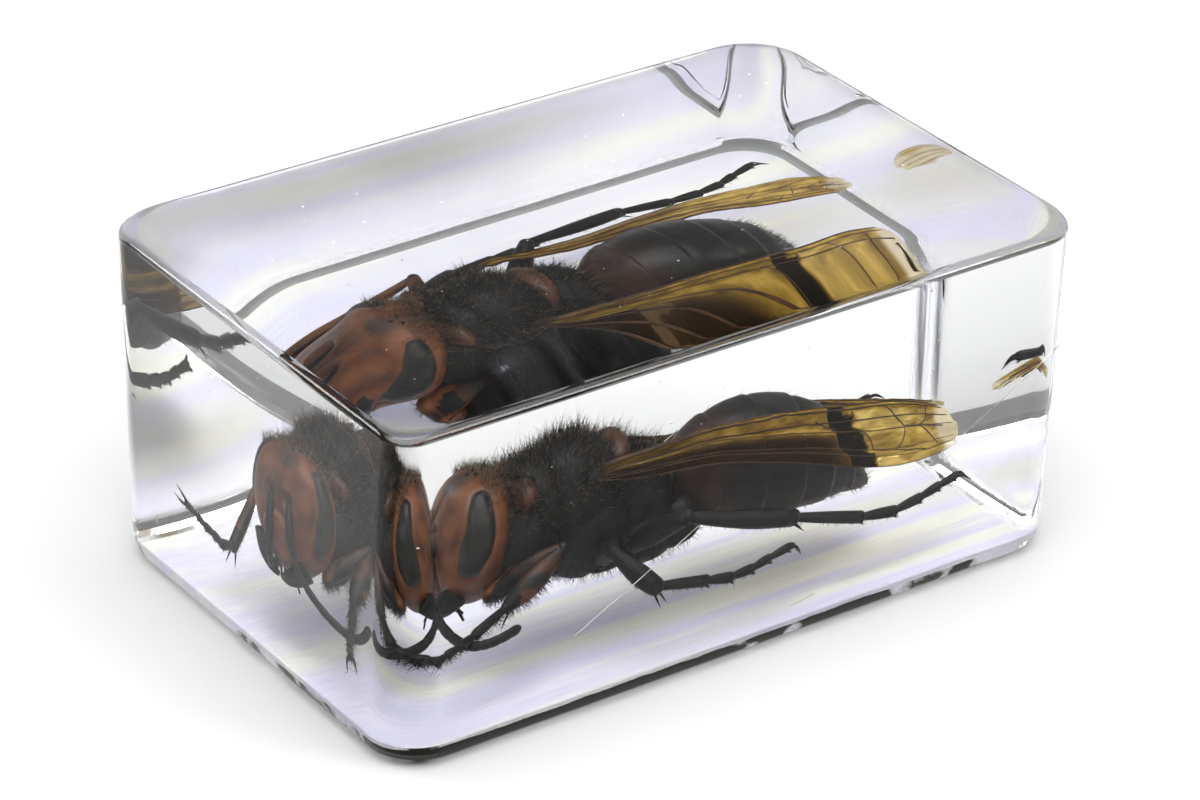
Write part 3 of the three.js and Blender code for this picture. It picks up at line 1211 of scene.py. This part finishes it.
# ---------------------------------------------------------------------------
# The body hair
# Fine bristles of chitin, tapering to a point and leaning back: dense and dark on the thorax and
# the hips, shorter on the crown of the head and under the legs, with some pale ones between.
# ---------------------------------------------------------------------------
HAIR_SIDES = 3
HAIR_CORNERS = 2 * HAIR_SIDES + 1
HAIR_RADIUS = 0.022
HAIR_ROOT_DEPTH = 0.08
# Shortest and longest, as shares of the length that a field states.
HAIR_SPREAD = (0.55, 1.15)


def hair_mesh(name, seed, fields):
    """One joined mesh of hairs. A field is (host, count, length, keep, lean).

    keep(x, y, z, normals) gives the density at face centres in millimetres. A hair is a thin
    three-sided tube: a ring at its root, a narrower one at its middle and a point.
    """
    draw = np.random.default_rng(seed)
    corners, faces = [], []
    for host, count, length, keep, lean in fields:
        mesh = host.data
        centres = np.array([p.center for p in mesh.polygons]) / MM
        normals = np.array([p.normal for p in mesh.polygons])
        areas = np.array([p.area for p in mesh.polygons])
        weights = areas * np.clip(keep(*centres.T, normals), 0, None)
        picks = draw.choice(len(weights), size=count, p=weights / weights.sum())
        jitter = draw.normal(size=(count, 3))
        up = normals[picks]
        jitter_flat = jitter - up * (jitter * up).sum(axis=1, keepdims=True)
        spread = np.sqrt(areas[picks])[:, None] / MM * 0.35
        roots = centres[picks] + jitter_flat * spread - up * HAIR_ROOT_DEPTH
        heading = up + 0.3 * draw.normal(size=(count, 3)) + np.array(lean)
        heading /= np.linalg.norm(heading, axis=1, keepdims=True)
        bend = 0.22 * draw.normal(size=(count, 3)) + 0.5 * np.array(lean)
        sizes = length * draw.uniform(*HAIR_SPREAD, size=(count, 1))
        side = np.cross(heading, draw.normal(size=(count, 3)))
        side /= np.linalg.norm(side, axis=1, keepdims=True)
        other = np.cross(heading, side)
        middles = roots + heading * sizes * 0.5
        tips = roots + (heading + bend) * sizes
        for ring_centre, radius in ((roots, HAIR_RADIUS), (middles, HAIR_RADIUS * 0.75)):
            for i in range(HAIR_SIDES):
                turn = 2 * math.pi * i / HAIR_SIDES
                corners.append(ring_centre + radius * (side * math.cos(turn) + other * math.sin(turn)))
        corners.append(tips)
    points = []
    for first in range(0, len(corners), HAIR_CORNERS):
        field_hairs = np.stack(corners[first:first + HAIR_CORNERS], axis=1)
        roots = sum(len(p) for p in points) + HAIR_CORNERS * np.arange(len(field_hairs))
        middles, tips = roots + HAIR_SIDES, roots + 2 * HAIR_SIDES
        points.append(field_hairs.reshape(-1, 3))
        for i in range(HAIR_SIDES):
            j = (i + 1) % HAIR_SIDES
            faces.append(np.stack((roots + i, roots + j, middles + j, middles + i), axis=1))
            faces.append(np.stack((middles + i, middles + j, tips), axis=1))
    mesh = bpy.data.meshes.new(name)
    mesh.from_pydata(np.concatenate(points).tolist(), [], [f for part in faces for f in part.tolist()])
    return mesh


def bristle(name, low, high):
    """Bristle of fine chitin: dark or straw-coloured, satin, lighter from hair to hair."""
    return mottled_finish(
        name, {"Roughness": 0.5, "IOR": 1.55, "Specular IOR Level": 0.15},
        0.5, 2.0, ((0.35, low), (0.65, high)),
    )[0]


def on_thorax(x, y, z, normals):
    """Thickest over the back and collar, thinner on the flanks, and thin on the rust shield."""
    top = np.clip((z - 9.0) / 5.0, 0.15, 1.0)
    belly = np.where(z < 7.0, 0.25, 0.0)
    shield = np.exp(-(((x + 4.9) / 1.4) ** 2 + ((z - 14.4) / 1.6) ** 2))
    return (top + belly) * (1 - 0.85 * shield)


def on_back(x, y, z, normals):
    """On the upper side of the thorax only."""
    return on_thorax(x, y, z, normals) * np.clip((z - 10.0) / 2.0, 0, 1)


def on_head(x, y, z, normals):
    """On the crown and behind the face only."""
    return np.where((z > 13.6) & (x > -16.9), 1.0, 0.0) + np.where(x > -15.2, 0.35, 0.0)


def towards_tail(x, y, z, normals):
    """Sparse over the abdomen and thick towards its point."""
    return np.where(x > 14, 1.0, 0.06)


def under_leg(x, y, z, normals):
    """Where the surface faces sideways or down."""
    return np.clip(0.25 - normals[:, 2], 0, 1)


dark_fields = [
    (thorax, 9000, 0.85, on_thorax, (0.1, 0, 0.05)),
    (thorax, 2400, 1.45, on_back, (0.15, 0, 0.1)),
    (head, 900, 0.75, on_head, (0.3, 0, 0.25)),
    (abdomen, 700, 0.6, towards_tail, (0.6, 0, 0)),
]
for leg_name, leg in legs.items():
    count, length = (1500, 0.75) if leg_name == "front_near" else (500, 0.38)
    dark_fields.append((leg, count, length, under_leg, (0.25, 0, -0.2)))
pale_fields = [
    (thorax, 1500, 1.1, on_back, (0.1, 0, 0.05)),
    (head, 600, 0.9, on_head, (0.2, 0, 0.3)),
]
dark_bristle = bristle("dark_bristle", "#0A0806", "#181310")
straw_bristle = bristle("straw_bristle", "#5A4936", "#8C7658")
for name, seed, fields, finish in (
    ("dark_body_hair", 11, dark_fields, dark_bristle),
    ("pale_body_hair", 12, pale_fields, straw_bristle),
):
    add_piece(name, hair_mesh(name, seed, fields), [finish])


# ---------------------------------------------------------------------------
# The marks of the casting
# Specks of dust and lint that sank into the resin while it was liquid, mostly near the surface
# between the two pours, and a few fine bright scratches left in the long wall by polishing.
# ---------------------------------------------------------------------------
SPECK_COUNT = 70
SPECK_REGION = ((-27, 28), (-18, 17), (15, 26.4))
SPECK_RADII = (0.02, 0.06)
SCRATCH_RADIUS = 0.04
SCRATCH_DEPTH = 0.06
# Points along each scratch on the long near wall: along the block and up it.
SCRATCHES = (
    ((-15.2, 6.9), (-12.2, 8.5), (-10.4, 9.4), (-4.6, 12.6)),
    ((4.0, 3.0), (6.2, 3.3)),
    ((-8.0, 20.5), (-6.8, 21.1)),
    ((18.0, 12.0), (24.0, 15.2), (28.0, 17.6)),
)


def marks_mesh():
    """Specks as tiny lumps, and scratches as thin tubes just inside the wall."""
    bm = bmesh.new()
    draw = random.Random(5)
    for _ in range(SPECK_COUNT):
        place = [draw.uniform(*span) for span in SPECK_REGION]
        size = draw.uniform(*SPECK_RADII)
        add_ball(bm, place, (size * draw.uniform(0.8, 2.5), size, size * draw.uniform(0.6, 1.4)), 8)
    for rows in SCRATCHES:
        path = []
        for x, z in rows:
            wall = BLOCK_WIDTH / 2 + BLOCK_DRAFT * (z / BLOCK_HEIGHT - 0.5)
            path.append((x, SCRATCH_DEPTH - wall, z, SCRATCH_RADIUS))
        add_tube(bm, through(path, 12), 5)
    return bm


def dust_material():
    """Pale lint and the bright floor of a scratch: matt, white to tan from speck to speck."""
    return mottled_finish(
        "pale_dust", {"Roughness": 0.7, "Specular IOR Level": 0.2},
        4.0, 1.0, ((0.35, "#8A8172"), (0.5, "#E4E2DC")),
    )[0]


add_piece("dust_and_scratches", marks_mesh(), [dust_material()])


# ---------------------------------------------------------------------------
# The studio
# A pale card on a table in a dim room, lit by a wide soft lamp overhead and two small bright
# ones that draw the near rims, and seen from in front and above.
# ---------------------------------------------------------------------------
CARD_SIZE = 1.2
CARD_GAP = 0.0001
ROOM_GLOW = 0.27
HORIZON_GLOW = 0.1
# Heights of the view direction where the dark horizon ends and the full glow of the room starts.
HORIZON_EDGE = (0.05, 0.3)
# Azimuth from +X and elevation in degrees, glow, and the angles where it is full and gone.
LAMPS = (
    ((-124.0, 78.0), 5.5, 26.0, 46.0),
    ((-54.0, 36.0), 8.0, 9.0, 15.0),
    ((124.0, 31.0), 8.0, 6.0, 11.0),
)
# Angles in degrees and lengths in millimetres. The azimuth is from -Y.
CAMERA_AZIMUTH = -35.75
CAMERA_ELEVATION = 28.993
CAMERA_ROLL = 1.413
CAMERA_AIM = (2.098, 1.898, 10.647)
CAMERA_DISTANCE = 369.142
CAMERA_LENS = 148.277
CAMERA_SENSOR = 36.0
# Light crosses many faces of the block, so it may bounce often.
CLEAR_BOUNCES = 24


def make_floor():
    """The card, a hair's breadth below the base of the block."""
    bm = bmesh.new()
    bmesh.ops.create_grid(bm, x_segments=1, y_segments=1, size=CARD_SIZE / 2)
    bmesh.ops.translate(bm, vec=(0, 0, -CARD_GAP), verts=bm.verts)
    mesh = bpy.data.meshes.new("floor")
    bm.to_mesh(mesh)
    bm.free()
    floor = bpy.data.objects.new("floor", mesh)
    bpy.context.scene.collection.objects.link(floor)
    card = new_material("matt_pale_card", {
        "Base Color": linear("#B5B5B5"), "Roughness": 0.9, "Specular IOR Level": 0.1,
    })[0]
    mesh.materials.append(card)


def make_surround():
    """A dim room with a dark horizon and three soft lamps."""
    world = bpy.data.worlds.new("soft_studio_surround")
    bpy.context.scene.world = world
    world.use_nodes = True
    tree = world.node_tree
    direction = add_node(tree, "ShaderNodeTexCoord").outputs["Generated"]
    height = add_node(tree, "ShaderNodeSeparateXYZ", inputs={"Vector": direction}).outputs["Z"]
    room = add_node(tree, "ShaderNodeMapRange", {"interpolation_type": "SMOOTHSTEP"}, {
        "Value": height, "From Min": HORIZON_EDGE[0], "From Max": HORIZON_EDGE[1],
        "To Min": HORIZON_GLOW, "To Max": ROOM_GLOW,
    })
    total = room.outputs["Result"]
    for angles, glow, full, gone in LAMPS:
        azimuth, elevation = (math.radians(angle) for angle in angles)
        towards_lamp = (
            math.cos(azimuth) * math.cos(elevation),
            math.sin(azimuth) * math.cos(elevation),
            math.sin(elevation),
        )
        facing = add_node(tree, "ShaderNodeVectorMath", {"operation": "DOT_PRODUCT"}, {
            0: direction, 1: towards_lamp,
        })
        lamp = add_node(tree, "ShaderNodeMapRange", {"interpolation_type": "SMOOTHSTEP"}, {
            "Value": facing.outputs["Value"], "From Min": math.cos(math.radians(gone)),
            "From Max": math.cos(math.radians(full)), "To Min": 0.0, "To Max": glow,
        })
        total = add_node(tree, "ShaderNodeMath", {"operation": "ADD"}, {
            0: total, 1: lamp.outputs["Result"],
        }).outputs["Value"]
    background = tree.nodes["Background"]
    background.inputs["Color"].default_value = linear("#FFFFFF")
    tree.links.new(total, background.inputs["Strength"])


def make_camera():
    """A long lens in front and above, turned a little about its own axis."""
    azimuth, elevation, roll = (
        math.radians(angle) for angle in (CAMERA_AZIMUTH, CAMERA_ELEVATION, CAMERA_ROLL)
    )
    back = Vector((
        math.sin(azimuth) * math.cos(elevation),
        -math.cos(azimuth) * math.cos(elevation),
        math.sin(elevation),
    ))
    right = (-back).cross(Vector((0, 0, 1))).normalized()
    up = right.cross(-back)
    rolled_right = right * math.cos(roll) + up * math.sin(roll)
    rolled_up = up * math.cos(roll) - right * math.sin(roll)
    place = Vector(CAMERA_AIM) * MM + back * CAMERA_DISTANCE * MM
    data = bpy.data.cameras.new("camera")
    data.sensor_width = CAMERA_SENSOR
    data.lens = CAMERA_LENS
    data.clip_start = 0.01
    camera = bpy.data.objects.new("camera", data)
    turn = Matrix((rolled_right, rolled_up, back)).transposed().to_4x4()
    camera.matrix_world = Matrix.Translation(place) @ turn
    bpy.context.scene.collection.objects.link(camera)
    bpy.context.scene.camera = camera


make_floor()
make_surround()
make_camera()
scene = bpy.context.scene
scene.view_settings.view_transform = "Standard"
scene.cycles.max_bounces = CLEAR_BOUNCES
scene.cycles.transmission_bounces = CLEAR_BOUNCES
scene.cycles.glossy_bounces = CLEAR_BOUNCES
scene.cycles.diffuse_bounces = 4
